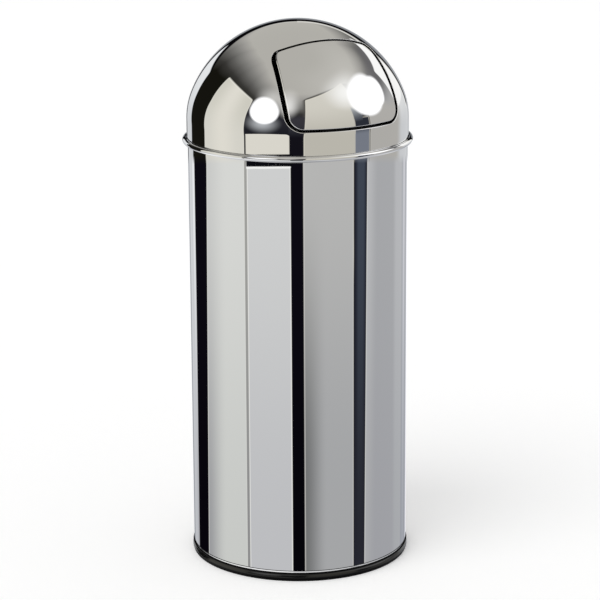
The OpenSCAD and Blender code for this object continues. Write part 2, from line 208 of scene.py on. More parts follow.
def evenly(points, count):
    # count points at even steps along a path, without its last point
    lengths = [0.0]
    for p, q in zip(points, points[1:]):
        lengths.append(lengths[-1] + (q - p).length)
    found, i = [], 0
    for n in range(count):
        goal = lengths[-1] * n / count
        while lengths[i + 1] < goal:
            i += 1
        span = lengths[i + 1] - lengths[i]
        t = 0 if span == 0 else (goal - lengths[i]) / span
        found.append(points[i].lerp(points[i + 1], t))
    return found


def outlinePoints(side, sill, top, corner, perSide):
    # the outline in the front view, moved outwards, as 4 stretches that meet at mid corner
    facts = openingFacts
    lowR, highR = facts["lowR"] + corner, facts["highR"] + corner
    sideR = facts["sideR"] + side
    sideC = Vector((facts["half"] - facts["sideR"], facts["sillZ"] + facts["widestUp"]))
    topR = facts["topR"] + top
    topC = Vector((0, facts["topZ"] - facts["topR"]))
    lowZ = facts["sillZ"] - sill + lowR
    lowC = Vector((sideC.x + math.sqrt((sideR - lowR) ** 2 - (lowZ - sideC.y) ** 2), lowZ))
    a, b = sideR - highR, topR - highR
    gap = (topC - sideC).length
    ahead = (topC - sideC) / gap
    k = (gap * gap + a * a - b * b) / (2 * gap)
    aside = Vector((-ahead.y, ahead.x)) * math.sqrt(a * a - k * k)
    highC = sideC + ahead * k + aside
    if highC.x < 0 or highC.y < sideC.y:
        highC = sideC + ahead * k - aside
    lowA = math.atan2(lowC.y - sideC.y, lowC.x - sideC.x)
    highA = math.atan2(highC.y - sideC.y, highC.x - sideC.x)
    topA = math.atan2(highC.y - topC.y, highC.x - topC.x)

    def arc(centre, r, start, end):
        steps = evenSteps(start, end, facts["arcSteps"])
        return [centre + r * Vector((math.cos(t), math.sin(t))) for t in steps]

    lowMid, highMid = (lowA - math.pi / 2) / 2, (highA + topA) / 2
    bottomHalf = [Vector((0, lowZ - lowR))] + arc(lowC, lowR, -math.pi / 2, lowMid)
    rightSide = arc(lowC, lowR, lowMid, lowA) + arc(sideC, sideR, lowA, highA)
    rightSide += arc(highC, highR, highA, highMid)
    topHalf = arc(highC, highR, highMid, topA) + arc(topC, topR, topA, math.pi / 2)

    def flipped(points):
        return [Vector((-p.x, p.y)) for p in reversed(points)]

    stretches = (flipped(bottomHalf) + bottomHalf, rightSide, topHalf + flipped(topHalf), flipped(rightSide))
    return [p for stretch in stretches for p in evenly(stretch, perSide)]


meshFacts = {
    "sharp": 35.0,  # degrees between faces at a sharp edge
    "turns": 360,  # points round a turned piece
    "axis": 0.01,  # mm; nearer points are on it
}


class MeshParts:
    # collects points with their normals, and faces

    def __init__(self):
        self.points, self.normals, self.faces = [], [], []

    def add(self, pair):
        self.points.append(tuple(v * mm for v in pair[0]))
        self.normals.append(pair[1])
        return len(self.points) - 1

    def bridge(self, first, second, closed=True, flip=False):
        count = len(first)
        for i in range(count if closed else count - 1):
            j = (i + 1) % count
            face = (first[i], first[j], second[j], second[i])
            self.faces.append(face[::-1] if flip else face)

    def bridgeAll(self, rings, closed=True, flip=False):
        for first, second in zip(rings, rings[1:]):
            self.bridge(first, second, closed, flip)

    def fan(self, ring, middle, flip=False):
        for i in range(len(ring)):
            face = (ring[i], ring[(i + 1) % len(ring)], middle)
            self.faces.append(face[::-1] if flip else face)

    def make(self, name, material):
        mesh = bpy.data.meshes.new(name)
        mesh.from_pydata(self.points, [], self.faces)
        mesh.validate()
        mesh.shade_smooth()
        made = bpy.data.objects.new(name, mesh)
        scene.collection.objects.link(made)
        mesh.materials.append(material)
        if any(n is not None for n in self.normals):
            mesh.normals_split_custom_set_from_vertices([n or (0, 0, 0) for n in self.normals])
        else:
            mesh.set_sharp_from_angle(angle=math.radians(meshFacts["sharp"]))
        return made


def lathe(name, material, profile):
    # turns a closed profile of (radius, height) points round the middle
    parts, rings, count = MeshParts(), [], meshFacts["turns"]
    turn = [2 * math.pi * i / count for i in range(count)]
    for r, z in profile:
        if r < meshFacts["axis"]:
            rings.append([parts.add(((0, 0, z), None))])
        else:
            rings.append([parts.add(((math.sin(a) * r, -math.cos(a) * r, z), None)) for a in turn])
    for first, second in zip(rings, rings[1:] + rings[:1]):
        if len(first) > 1 and len(second) > 1:
            parts.bridge(first, second)
        elif len(first) > 1:
            parts.fan(first, second[0])
        elif len(second) > 1:
            parts.fan(second, first[0], flip=True)
    return parts.make(name, material)


def arcProfile(r, z, size, start, end, count):
    steps = [math.radians(a) for a in evenSteps(start, end, count)]
    return [(r + size * math.cos(t), z + size * math.sin(t)) for t in steps]


# materials

polishFacts = {
    "colour": "e2e2e3",  # what mirror-polished stainless gives back of a white card
    "roughness": (0.003, 0.008),
    "lines": 3.5,  # mm between buffing lines, ten times coarser than they are, so that they show
    "smudge": 46.0,  # mm across a wiped patch
    "wiped": (0.45, 0.75),  # noise values where a patch begins and is full
    "relief": (0.005, 0.05),
    "weld": (0.5, 0.9),  # mm from its middle, where it fades and ends
    "weldDull": 0.22,  # added to the roughness
}


def newMaterial(name):
    material = bpy.data.materials.new(name)
    material.use_nodes = True
    tree = material.node_tree
    tree.nodes.clear()
    shader = addNode(tree, "BsdfPrincipled")
    addNode(tree, "OutputMaterial", {"Surface": shader})
    return material, tree, shader


def setSurface(tree, shader, tone, rough, height, relief, others):
    # gives the shader its colour, roughness and relief, whose strength and height in mm are in "relief"
    bump = addNode(tree, "Bump", {"Height": height, "Strength": relief[0], "Distance": relief[1] * mm})
    setInputs(tree, shader, {"Base Color": tone, "Roughness": rough, "Normal": bump} | others)


def polishedSteel(name, weld=False):
    # stainless sheet, bright annealed and mirror polished: clear reflections, with faint lines along
    # the buffing wheel's way round the bin and patches where a cloth has wiped it
    facts = polishFacts
    material, tree, shader = newMaterial(name)
    place = addNode(tree, "TexCoord").outputs["Object"]
    apart = addNode(tree, "SeparateXYZ", {0: place})
    flat = addNode(tree, "CombineXYZ", {0: apart.outputs[0], 1: apart.outputs[1]})
    radius = addNode(tree, "VectorMath", {0: flat}, operation="LENGTH")
    rings = addNode(tree, "CombineXYZ", {0: radius.outputs["Value"], 2: apart.outputs[2]})
    lines = addNode(tree, "TexNoise", {"Vector": rings, "Scale": 1 / (facts["lines"] * mm), "Detail": 3.0})
    wiped = addNode(tree, "TexNoise", {"Vector": place, "Scale": 1 / (facts["smudge"] * mm), "Detail": 4.0})
    patches = addNode(tree, "MapRange", {0: wiped, 1: facts["wiped"][0], 2: facts["wiped"][1]})
    mixed = addNode(tree, "Math", {0: lines, 1: patches}, operation="MULTIPLY")
    low, high = facts["roughness"]
    rough = addNode(tree, "MapRange", {0: mixed, 1: 0.0, 2: 0.5, 3: low, 4: high})
    if weld:  # the body's lengthwise weld at the back, ground flush and polished over
        fades, ends = (value * mm for value in facts["weld"])
        side = addNode(tree, "Math", {0: apart}, operation="ABSOLUTE")
        line = addNode(tree, "MapRange", {0: side, 1: fades, 2: ends, 3: 1.0, 4: 0.0})
        back = addNode(tree, "Math", {0: apart.outputs[1], 1: 0.0}, operation="GREATER_THAN")
        seam = addNode(tree, "Math", {0: line, 1: back}, operation="MULTIPLY")
        rough = addNode(tree, "Math", {0: seam, 1: facts["weldDull"], 2: rough}, operation="MULTIPLY_ADD")
    setSurface(tree, shader, facts["colour"], rough, lines, facts["relief"], {"Metallic": 1.0})
    return material


# "grain" is in mm and "stretch" squeezes it along x, y and z
metalKinds = {
    # sheet straight from the coil, 2B finish: an even grey sheen with fine rolling lines
    "coilSteel2B": {
        "colour": ("c3c4c4", "d0d0cf"), "roughness": (0.24, 0.36), "grain": 1.2, "stretch": (1, 1, 14),
    },
    # ground and polished bar: a bright narrow highlight with rings from the grinding wheel
    "groundSteelRod": {
        "colour": ("cfcfce", "dcdcdb"), "roughness": (0.08, 0.16), "grain": 0.5, "stretch": (20, 1, 1),
    },
    # charcoal, nearly matt strip steel: painted shade on the stop strip, which shows through the flap's gap,
    # and on the seam's hem top over the base ring
    "paintedShadeSteel": {
        "colour": ("1d1d1e", "28282a"), "roughness": (0.5, 0.7), "grain": 0.9, "stretch": (1, 1, 1),
    },
    # music wire in its drawing film: dark grey with long streaks
    "drawnSpringWire": {
        "colour": ("6b6a67", "84827e"), "roughness": (0.25, 0.4), "grain": 0.4, "stretch": (6, 1, 1),
    },
    # bright zinc plate on wire: cool and slightly cloudy
    "zincPlatedWire": {
        "colour": ("b9bdc0", "cfd3d6"), "roughness": (0.18, 0.34), "grain": 7.0, "stretch": (1, 1, 1),
    },
}
grainFacts = {"relief": (0.15, 0.02), "tones": (0.3, 0.7)}  # noise values where it is darkest and lightest


def plainMetal(name):
    facts = metalKinds[name]
    material, tree, shader = newMaterial(name)
    place = addNode(tree, "TexCoord").outputs["Object"]
    longways = addNode(tree, "Mapping", {"Vector": place, "Scale": facts["stretch"]})
    fine = {"Vector": longways, "Scale": 1 / (facts["grain"] * mm), "Detail": 5.0, "Roughness": 0.6}
    grain = addNode(tree, "TexNoise", fine)
    tone = addNode(tree, "ValToRGB", {0: grain})
    dark, light = grainFacts["tones"]
    setStops(tone, [(dark, facts["colour"][0]), (light, facts["colour"][1])])
    low, high = facts["roughness"]
    rough = addNode(tree, "MapRange", {0: grain, 1: dark, 2: light, 3: low, 4: high})
    setSurface(tree, shader, tone, rough, grain, grainFacts["relief"], {"Metallic": 1.0})
    return material


spangleFacts = {
    "cell": 7.0,  # mm across a crystal
    "warp": (5.0, 2.0),  # mm: the waves in its edges, and how far they go
    "tones": ("a3a8ab", "b4b9bc", "c6cacd"),
    "roughness": (0.28, 0.5),
    "relief": (0.2, 0.03),
}


def galvanisedSteel(name):
    # hot-dipped zinc: flat crystals a few millimetres across, each with its own grey and gloss
    facts = spangleFacts
    material, tree, shader = newMaterial(name)
    place = addNode(tree, "TexCoord").outputs["Object"]
    wave, moved = (value * mm for value in facts["warp"])
    warp = addNode(tree, "TexNoise", {"Vector": place, "Scale": 1 / wave, "Detail": 2.0})
    shift = {0: warp.outputs["Color"], 1: (moved,) * 3, 2: place}
    bent = addNode(tree, "VectorMath", shift, operation="MULTIPLY_ADD")
    cells = addNode(tree, "TexVoronoi", {"Vector": bent, "Scale": 1 / (facts["cell"] * mm)})
    pick = addNode(tree, "SeparateColor", {0: cells.outputs["Color"]})
    tone = addNode(tree, "ValToRGB", {0: pick})
    setStops(tone, list(zip((0.1, 0.5, 0.9), facts["tones"])))
    low, high = facts["roughness"]
    rough = addNode(tree, "MapRange", {0: pick.outputs[1], 3: low, 4: high})
    setSurface(tree, shader, tone, rough, cells.outputs["Distance"], facts["relief"], {"Metallic": 1.0})
    return material


darkKinds = {
    # injection-moulded polypropylene with a fine grain: a low sheen on its rib, and painted shade below and
    # above it, for the shade at its foot and in its groove; "sheen" is where in mm up the band begins, is
    # full, fades, ends
    "mouldedPolypropylene": {
        "colour": ("060607", "0b0b0c"), "roughness": (0.13, 0.2), "grain": 0.4, "ior": 1.49,
        "sheen": (4.4, 6.4, 9.4, 10.4),
    },
    # black natural rubber, with a little bloom: nearly matt
    "bumperRubber": {"colour": ("121212", "1d1c1b"), "roughness": (0.65, 0.85), "grain": 0.6, "ior": 1.52},
    # soft dipped vinyl: smooth and slightly greasy to look at
    "dippedVinyl": {"colour": ("101113", "1a1b1d"), "roughness": (0.35, 0.5), "grain": 1.4, "ior": 1.53},
}
wearAndShadeFacts = {
    "size": 25.0,  # mm across a worn patch
    "tones": (0.35, 0.7),  # noise values where it is darkest and lightest
    "dull": (0.3, 0.7),  # and glossiest and dullest
    "relief": (0.25, 0.03),
    "paintedShade": 0.45,  # painted shade outside the rib's band: added to the roughness, and taken from the specular level
    "specular": 0.5,
}


def darkPolymer(name):
    facts, wearAndShade = darkKinds[name], wearAndShadeFacts
    material, tree, shader = newMaterial(name)
    place = addNode(tree, "TexCoord").outputs["Object"]
    grain = addNode(tree, "TexNoise", {"Vector": place, "Scale": 1 / (facts["grain"] * mm), "Detail": 3.0})
    worn = addNode(tree, "TexNoise", {"Vector": place, "Scale": 1 / (wearAndShade["size"] * mm), "Detail": 4.0})
    tone = addNode(tree, "ValToRGB", {0: worn})
    setStops(tone, list(zip(wearAndShade["tones"], facts["colour"])))
    (glossy, dull), (low, high) = wearAndShade["dull"], facts["roughness"]
    rough = addNode(tree, "MapRange", {0: worn, 1: glossy, 2: dull, 3: low, 4: high})
    if "sheen" in facts:
        # painted shade: at the ring's foot and upper edge the specular level drops and the roughness rises
        up = addNode(tree, "SeparateXYZ", {0: place}).outputs[2]
        foot, full, fading, none = (value * mm for value in facts["sheen"])
        below = addNode(tree, "MapRange", {0: up, 1: foot, 2: full, 3: 1, 4: 0})
        above = addNode(tree, "MapRange", {0: up, 1: fading, 2: none})
        paintedShade = addNode(tree, "Math", {0: below, 1: above}, operation="MAXIMUM")
        rough = addNode(tree, "Math", {0: paintedShade, 1: wearAndShade["paintedShade"], 2: rough}, operation="MULTIPLY_ADD")
        lost = {0: paintedShade, 1: -wearAndShade["paintedShade"], 2: wearAndShade["specular"]}
        specular = addNode(tree, "Math", lost, operation="MULTIPLY_ADD")
        setInputs(tree, shader, {"Specular IOR Level": specular})
    setSurface(tree, shader, tone, rough, grain, wearAndShade["relief"], {"IOR": facts["ior"]})
    return material


mirrorSheet = polishedSteel("mirrorPolishedStainless")
mirrorWelded = polishedSteel("mirrorPolishedStainlessWelded", weld=True)
coilSteel = plainMetal("coilSteel2B")
groundRod = plainMetal("groundSteelRod")
springWire = plainMetal("drawnSpringWire")
blackStrip = plainMetal("paintedShadeSteel")
zincWire = plainMetal("zincPlatedWire")
spangle = galvanisedSteel("hotDippedZincSheet")
ringPlastic = darkPolymer("mouldedPolypropylene")
rubber = darkPolymer("bumperRubber")
vinyl = darkPolymer("dippedVinyl")
print("materials made")

# dome with its opening

lidFacts = {
    "perSide": 96,  # points on each side of the opening
    "patchAngle": 66.0,  # degrees to each side that the patch with the opening reaches
    "patchLow": 6.0,  # mm along the face from the dome's edge
    "patchHigh": 222.0,
    "patchRings": 30,
    "restAngles": 132,  # steps round the rest of the dome
    "hemTop": 0.4,
    "lowRings": 3,  # steps under and over the patch
    "topRings": 12,
    "topHole": 1.5,
    "bend": 1.1,  # radius of the turned edges
    "lip": 0.8,
    "lipDepth": 2.0,
    "bendSteps": 6,
}


class Welder:
    # gives points that lie in the same place one index
    def __init__(self, parts):
        self.parts, self.known = parts, {}

    def add(self, pair):
        key = tuple(round(v, 4) for v in pair[0])
        if key not in self.known:
            self.known[key] = self.parts.add(pair)
        return self.known[key]


def signed(pair, sign):
    return pair[0], tuple(sign * v for v in pair[1])


def domeSheet(parts, depth, outline, inside):
    # one face of the dome with the opening left out; returns the ring at the dome's edge
    facts, sign = lidFacts, -1 if inside else 1
    weld = Welder(parts)
    count, p = facts["perSide"], math.radians(facts["patchAngle"])
    low, high = facts["patchLow"], facts["patchHigh"]
    phis, esses = evenSteps(-p, p, count), evenSteps(low, high, count)
    frameLoop = (
        [(a, low) for a in phis[:-1]]
        + [(p, s) for s in esses[:-1]]
        + [(a, high) for a in reversed(phis[1:])]
        + [(-p, s) for s in reversed(esses[1:])]
    )
    loop = [(math.asin(x / domeProfile(z, depth)[0]), domeDistance(z, depth)) for x, z in outline]

    def put(angle, s):
        r, z, slope = domeAlong(s, depth)
        return weld.add(signed(roundPoint(angle, r, z, slope), sign))

    rings = []
    for k in range(facts["patchRings"]):
        t = k / facts["patchRings"]
        rings.append([put(a + (b - a) * t, s + (e - s) * t) for (a, s), (b, e) in zip(loop, frameLoop)])
    rings.append([put(a, s) for a, s in frameLoop])
    parts.bridgeAll(rings, flip=not inside)
    around = 2 * math.pi - p  # the patch's left side, reached the long way round
    outside = evenSteps(p, around, facts["restAngles"])[1:-1]

    def rows(angles, steps, closed):
        made = [[put(-p if a == around else a, s) for a in angles] for s in steps]
        parts.bridgeAll(made, closed, inside)
        return made

    edge = rows(phis + outside, evenSteps(facts["hemTop"], low, facts["lowRings"]), True)[0]
    rows([p] + outside + [around], esses, False)
    total = crownDistance(math.pi / 2)
    top = rows(phis + outside, evenSteps(high, total - facts["topHole"], facts["topRings"]), True)[-1]
    z = domeAlong(total, depth)[1]
    parts.fan(top, weld.add(((0, 0, z), (0, 0, sign))), flip=inside)
    return edge


def outlineNormals(points):
    # which way is out of the outline at each of its points
    found = []
    for i in range(len(points)):
        t = points[(i + 1) % len(points)] - points[i - 1]
        t.normalize()
        found.append((t.y, -t.x))
    return found


def rimLoop(parts, points, depth, faceShare, edgeShare):
    # a loop of a turned edge; its normal leans between the face's and the outline's
    loop = []
    for (x, z), (nx, nz) in zip(points, outlineNormals(points)):
        place, face = frontPoint(x, z, depth)
        mixed = Vector(face) * faceShare + Vector((nx, 0, nz)) * edgeShare
        loop.append(parts.add((place, tuple(mixed.normalized()))))
    return loop


def openingOutline(grow):
    side, sill, top = openingFacts["halfGaps"]
    return outlinePoints(side + grow, sill + grow, top + grow, side + grow, lidFacts["perSide"])


def flapOutline(grow):
    side, sill, top = openingFacts["halfGaps"]
    return outlinePoints(grow - side, grow - sill, grow - top, grow - side, lidFacts["perSide"])


def turnedEdge(parts, outlineAt, side, face, inner, end, flip):
    # side is +1 where the material lies outside the outline, -1 where it lies inside it
    bend, lip, steps = lidFacts["bend"], lidFacts["lip"], lidFacts["bendSteps"]
    loops = []
    for a in evenSteps(0, 90, steps):  # the bend from the face
        a = math.radians(a)
        points = outlineAt(side * bend * (1 - math.sin(a)))
        depth = face + bend * (1 - math.cos(a))
        loops.append(rimLoop(parts, points, depth, math.cos(a), -side * math.sin(a)))
    for b in evenSteps(0, 180, steps):  # the lip's round end
        b = math.radians(b)
        points = outlineAt(side * lip / 2 * (1 - math.cos(b)))
        depth = end - lip / 2 * (1 - math.sin(b))
        loops.append(rimLoop(parts, points, depth, -math.sin(b), -side * math.cos(b)))
    loops.append(rimLoop(parts, outlineAt(side * lip), inner, 0, side))
    parts.bridgeAll(loops, flip=flip)


def makeDome():
    parts, steps = MeshParts(), lidFacts["bendSteps"]
    wall = domeFacts["wall"]
    edgeOut = domeSheet(parts, 0.0, openingOutline(lidFacts["bend"]), False)
    edgeIn = domeSheet(parts, wall, openingOutline(lidFacts["lip"]), True)
    turnedEdge(parts, openingOutline, 1, 0.0, wall, lidFacts["lipDepth"], False)
    hem = [edgeOut]
    middle, low = domeFacts["skirtR"] - wall / 2, domeFacts["seatZ"]
    for b in evenSteps(0, 180, steps)[1:-1]:
        b = math.radians(b)
        z = low + wall / 2 * (1 - math.sin(b))
        ring = []
        for i in edgeOut:
            x, y = parts.points[i][0] / mm, parts.points[i][1] / mm
            ring.append(parts.add(roundPoint(math.atan2(x, -y), middle + wall / 2 * math.cos(b), z, -b)))
        hem.append(ring)
    parts.bridgeAll(hem + [edgeIn], flip=True)
    made = parts.make("domeShell", mirrorSheet)
    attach(made, "lid")
    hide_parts("dome_lid")
    print("dome", len(parts.faces), "faces")


makeDome()

# flap

flapFacts = {
    "recess": 0.3,  # mm under the dome's face
    "wall": 0.8,
    "end": 2.3,  # of its turned edge, in the same way
    "rings": 36,
    "middle": (0.0, 680.0),
}


def polarFace(parts, outline, depth, inside):
    # one face of the flap, in rings round its middle
    facts, sign = flapFacts, -1 if inside else 1
    cx, cz = facts["middle"]
    rings = []
    for k in range(1, facts["rings"] + 1):
        t = k / facts["rings"]
        inner = [(cx + (x - cx) * t, cz + (z - cz) * t) for x, z in outline]
        rings.append([parts.add(signed(frontPoint(x, z, depth), sign)) for x, z in inner])
    middle = parts.add(signed(frontPoint(cx, cz, depth), sign))
    parts.fan(rings[0], middle, flip=inside)
    parts.bridgeAll(rings, flip=not inside)


def makeFlap():
    facts, parts = flapFacts, MeshParts()
    face, inner = facts["recess"], facts["recess"] + facts["wall"]
    polarFace(parts, flapOutline(-lidFacts["bend"]), face, False)
    polarFace(parts, flapOutline(-lidFacts["lip"]), inner, True)
    turnedEdge(parts, flapOutline, -1, face, inner, facts["end"], True)
    made = parts.make("flapSheet", mirrorSheet)
    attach(made, "flap")
    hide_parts("flap_panel")
    print("flap", len(parts.faces), "faces")


makeFlap()

# body, base plate with its seam, and base ring; profiles are of (radius, height)

bodyFacts = {
    "outer": 150.0,
    "inner": 149.2,
    "low": 3.0,
    "wallTop": 585.4,  # where the straight wall bends into the bead
    "bead": (153.3, 587.0),  # middle of the bead's tube
    "tube": 3.97,
    "tubeIn": 3.2,
    "curl": (204, -131, 180),  # degrees: inside begins, cut end, outside ends
    "rows": 8,
}


def makeBody():
    facts = bodyFacts
    centre, (begins, cut, ends) = facts["bead"], facts["curl"]
    profile = [(facts["outer"], z) for z in evenSteps(facts["low"], facts["wallTop"], facts["rows"])]
    profile += arcProfile(*centre, facts["tubeIn"], begins, cut, 40)
    profile += arcProfile(*centre, facts["tube"], cut, ends, 60)
    profile += [(facts["inner"], z) for z in evenSteps(centre[1], facts["low"], facts["rows"])]
    made = lathe("bodySheet", mirrorWelded, profile)
    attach(made, "bin")
    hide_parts("body_shell")


plateFacts = {
    "fold": ((148.4, 2.2), (150.1, 2.2), (150.1, 11.6)),
    "seamTop": 15.1,
    "hem": 0.5,  # the seam's folded top edge; its face leans down a little, so that it shows the paper
    "lean": 0.05,
    # the hem's height, which is also the band painted dark as the shadow gap over the base ring
    "hemH": 0.8,
    "press": 0.05,  # into the body's sheet
    "inside": ((149.2, 3.05), (149.2, 14.8), (105, 14.8), (105, 16.8), (0, 16.8)),
    "under": ((0, 16), (104.2, 16), (104.2, 14), (148.4, 14)),
    "shows": (149.97, 2.5),  # the seam shows past this radius and height
}


def makePlate():
    facts, out = plateFacts, bodyFacts["outer"]
    top, hem = facts["seamTop"], facts["hem"]
    hemLow = top - facts["hemH"]
    profile = [*facts["fold"], (out + hem - facts["lean"], hemLow)]
    profile += arcProfile(out, top - hem, hem, 0, 90, 12)
    profile += [(out - facts["press"], top), (out - facts["press"], facts["inside"][0][1])]
    profile += [*facts["inside"], *facts["under"]]
    made = lathe("baseSheet", coilSteel, profile)
    made.data.materials.append(mirrorSheet)
    made.data.materials.append(blackStrip)
    radius, height = facts["shows"]
    for face in made.data.polygons:  # the seam that shows is polished with the body, but its hem's top band gets the dark steel as a painted shadow of the gap over the base ring
        x, y, z = face.center
        if math.hypot(x, y) > radius * mm and z > height * mm:
            # painted shadow: faces above the hem's lower edge take the dark steel
            face.material_index = 2 if z > hemLow * mm else 1
    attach(made, "bin")
    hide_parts("base_plate")


ringFacts = {
    "outer": 151.8,
    "inner": 146.9,
    "height": 12.0,
    "foot": (0.9, 1.2),
    "undercut": 2.3,  # to the middle of the foot's outer bend
    "rib": (6.4, 5.7),  # radius and middle's height
    "groove": ((1.35, 2.0), (1.2, 1.6), (0.8, 1.1)),  # inwards and down from the top edge
    "edge": 0.4,
    "slot": (148.35, 150.55, 2.15),  # for the seam: radii and bottom
}


def makeRing():
    facts = ringFacts
    outer, inner, high = facts["outer"], facts["inner"], facts["height"]
    (footIn, footOut), (rib, ribZ), edge = facts["foot"], facts["rib"], facts["edge"]
    profile = arcProfile(inner + footIn, footIn, footIn, 180, 270, 5)
    profile += arcProfile(outer - facts["undercut"], footOut, footOut, 270, 320, 5)
    profile += arcProfile(outer - rib, ribZ, rib, -32, 38, 14)
    profile += [(outer - inwards, high - down) for inwards, down in facts["groove"]]
    profile += arcProfile(outer - facts["groove"][-1][0], high - edge, edge, 0, 90, 4)
    slotIn, slotOut, slotZ = facts["slot"]
    profile += [(slotOut, high), (slotOut, slotZ), (slotIn, slotZ), (slotIn, high), (inner, high)]
    made = lathe("baseRingMoulding", ringPlastic, profile)
    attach(made, "bin")
    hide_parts("base_ring")


makeBody()
makePlate()
makeRing()
print("body, base plate and base ring made")

# the pieces that keep their shape from the construction

finishes = (
    (coilSteel, "lid_collar", "hinge_lug_left", "hinge_lug_right", "flap_ear_left", "flap_ear_right"),
    (groundRod, "hinge_rod", "rod_cap_left", "rod_cap_right"),
    (springWire, "flap_spring_left", "flap_spring_right"),
    # the stop strip is made charcoal as painted shade, so that the flap's gap shows dark
    (blackStrip, "stop_strip"),
    (rubber, "stop_bumper_left", "stop_bumper_right"),
    (spangle, "liner_wall", "liner_base", "liner_ear_left", "liner_ear_right"),
    (zincWire, "liner_rim_wire", "liner_ear_rivets", "bail_wire"),
    (vinyl, "bail_grip"),
)
for material, *names in finishes:
    for name in names:
        for holder in nodes[name].material_slots:
            holder.material = material
print("finishes given to the rest")

# studio: what the mirror sheet sees, in degrees round from the camera (0, right is plus) and up

studioFacts = {
    "gain": 1.3,  # for what the steel takes
    "plainLight": 0.62,  # for matt surfaces
    "edge": -11.35,  # the body sees only what lies below this, the dome what lies above it
    "edgeSpan": (0.05, -0.15),  # from there, where the body's share begins and is full
    "headroom": 15,  # degrees over the ceiling's last tone
    "softbox": (1.15, 1.15, 1.15, 1),  # brighter than a white card
    "paperSpan": (-22.0, -38.0),  # degrees up, where the paper begins and is full
    "paperShare": 0.9,
    "paperShade": "84868a",  # where it is less lit, at the right
    "shadeSpan": (-0.4, 1.0),  # sideways, as a sine
    "shadeShare": 0.6,
}
# the ceiling's tones up from the horizon, before its drop is added
ceilingStops = (
    (0, "15140f"), (35, "15140f"), (42, "373633"), (48, "5e5d5a"), (54, "7f7e7a"), (60, "9b9994"),
    (66, "b0aea7"), (125, "b0aea7"),
)
# how much lower the same tones come at each side
dropStops = (
    (-180, 50), (-160, 38), (-150, 25), (-135, 12), (-112, 3), (-98, 0), (-72, 0), (-45, 6), (-20, 15),
    (60, 20), (90, 22), (115, 17), (145, 16), (165, 30), (180, 46),
)
# the paper's tones, with the bin's shadow painted dark right under it
paperStops = (
    (-90, "0c0c0c"), (-83, "202020"), (-75, "b4b5b7"), (-60, "c8c9cb"), (-48, "d2d3d5"), (-40, "fafafa"),
    (-30, "fafafa"),
)
# cards and dark gaps as the dome sees them, from the furthest to the nearest: "round" is the left and the
# right side, "up" the foot and the top at the left and right, "tones" the foot's and the top's, "fade" where
# they change, "soft" the blur of sides and top, "bow" the rise of the top's middle, "lean" how far the sides
# go over for each degree up, "middle" a tone there and its reach, "rim" the cut edge's
domeCards = {
    "gapFront": {"round": (-24, 9), "up": (-14, 20, 24), "tones": ("2b2b31", "36353b"), "soft": (2, 12)},
    "leftCard": {"round": (-111.5, -56.5), "up": (-14, 35.6, 36.2), "tones": ("d4d2c8", "cdcbbf"),
        "bow": 3.1, "soft": (1.2, 1.4), "lean": (0.06, 0.0), "rim": "e9e7dc", "middle": ("dedbd0", 24.0)},
    "rightCardEdge": {"round": (7, 76), "up": (20, 43.4, 46.9), "tones": ("4e4c49", "4e4c49"),
        "soft": (6, 1.4), "bow": 3.2},
    "rightCard": {"round": (6.0, 70.0), "up": (-14, 42.0, 49.1), "tones": ("b9b6ab", "cfccc1"),
        "soft": (1.0, 1.0), "lean": (0.07, 0.0), "rim": "e2decf", "bow": 1.2},
    "rightWall": {"round": (80, 200), "up": (-14, 14.5, 6), "tones": ("acaaa5", "aeaca7"), "soft": (1.4, 2),
        "rim": "bdbbb4", "bow": 4.0},
    "sideShade": {"round": (108, 150), "up": (10, 37, 35), "tones": ("a6a6a5", "666566"), "soft": (9, 9),
        "fade": (12, 25)},
    "farRight": {"round": (130, 200), "up": (-14, 8, 9), "tones": ("c2c4c6", "dcdddc"), "soft": (14, 2)},
    "brightCard": {"round": (127, 158), "up": (2, 27.6, 27.6), "tones": ("f0f0ee", "f8f8f6"),
        "soft": (1.0, 1.4)},
    "backFlashLeft": {"round": (-200, -158.5), "up": (0, 27, 18.5), "tones": ("d2d0ca", "d2d0ca"),
        "soft": (2, 2)},
    "backFlashRight": {"round": (154.2, 200), "up": (-6, 20, 27), "tones": ("f0efec", "d6d4ce"),
        "soft": (2, 2)},
    "backFrameLeft": {"round": (-200, -139.5), "up": (-2, 22.5, 17.5), "tones": ("060608", "060608"),
        "soft": (2, 2)},
    "backFrameRight": {"round": (156.2, 200), "up": (-6, 16.5, 22.5), "tones": ("060608", "060608"),
        "soft": (2, 2)},
    "backLeft": {"round": (-162.5, -142), "up": (-14, 12.2, 15.8), "tones": ("c6c8ca", "dfe1e2"),
        "soft": (1.4, 1.4)},
    "backPanelLeft": {"round": (-200, -167.5), "up": (-14, 13, 7), "tones": ("b0b2b5", "7c7e82"),
        "soft": (2, 3)},
    "backPanelRight": {"round": (161, 200), "up": (-14, 8.5, 13), "tones": ("b0b2b5", "7c7e82"),
        "soft": (2, 3)},
    "slate": {"round": (60.6, 79.2), "up": (-14, 12.5, 9.5), "tones": ("747983", "2b2e36"),
        "soft": (1.2, 1.4), "rim": "c4c0b5", "fade": (-11, 0)},
    "slateRise": {"round": (61, 72), "up": (8, 27, 20), "tones": ("4c5057", "a4a8aa"), "soft": (1.6, 5)},
    "gapLeft": {"round": (-56.5, -9), "up": (-14, 33, 16), "tones": ("1c1c22", "2a2a30"), "soft": (1.4, 4)},
    "lowCard": {"round": (-54.8, -7.6), "up": (-30, -8.2, -5.8), "tones": ("cbc8bf", "dad7cc"), "bow": 1.2,
        "soft": (0.7, 0.7), "corner": 5.0, "rim": "f4f0e6"},
    "gapMiddle": {"round": (-8.6, 5.2), "up": (-14, 5, 5), "tones": ("100e15", "2c2d33"), "soft": (1.0, 4)},
}
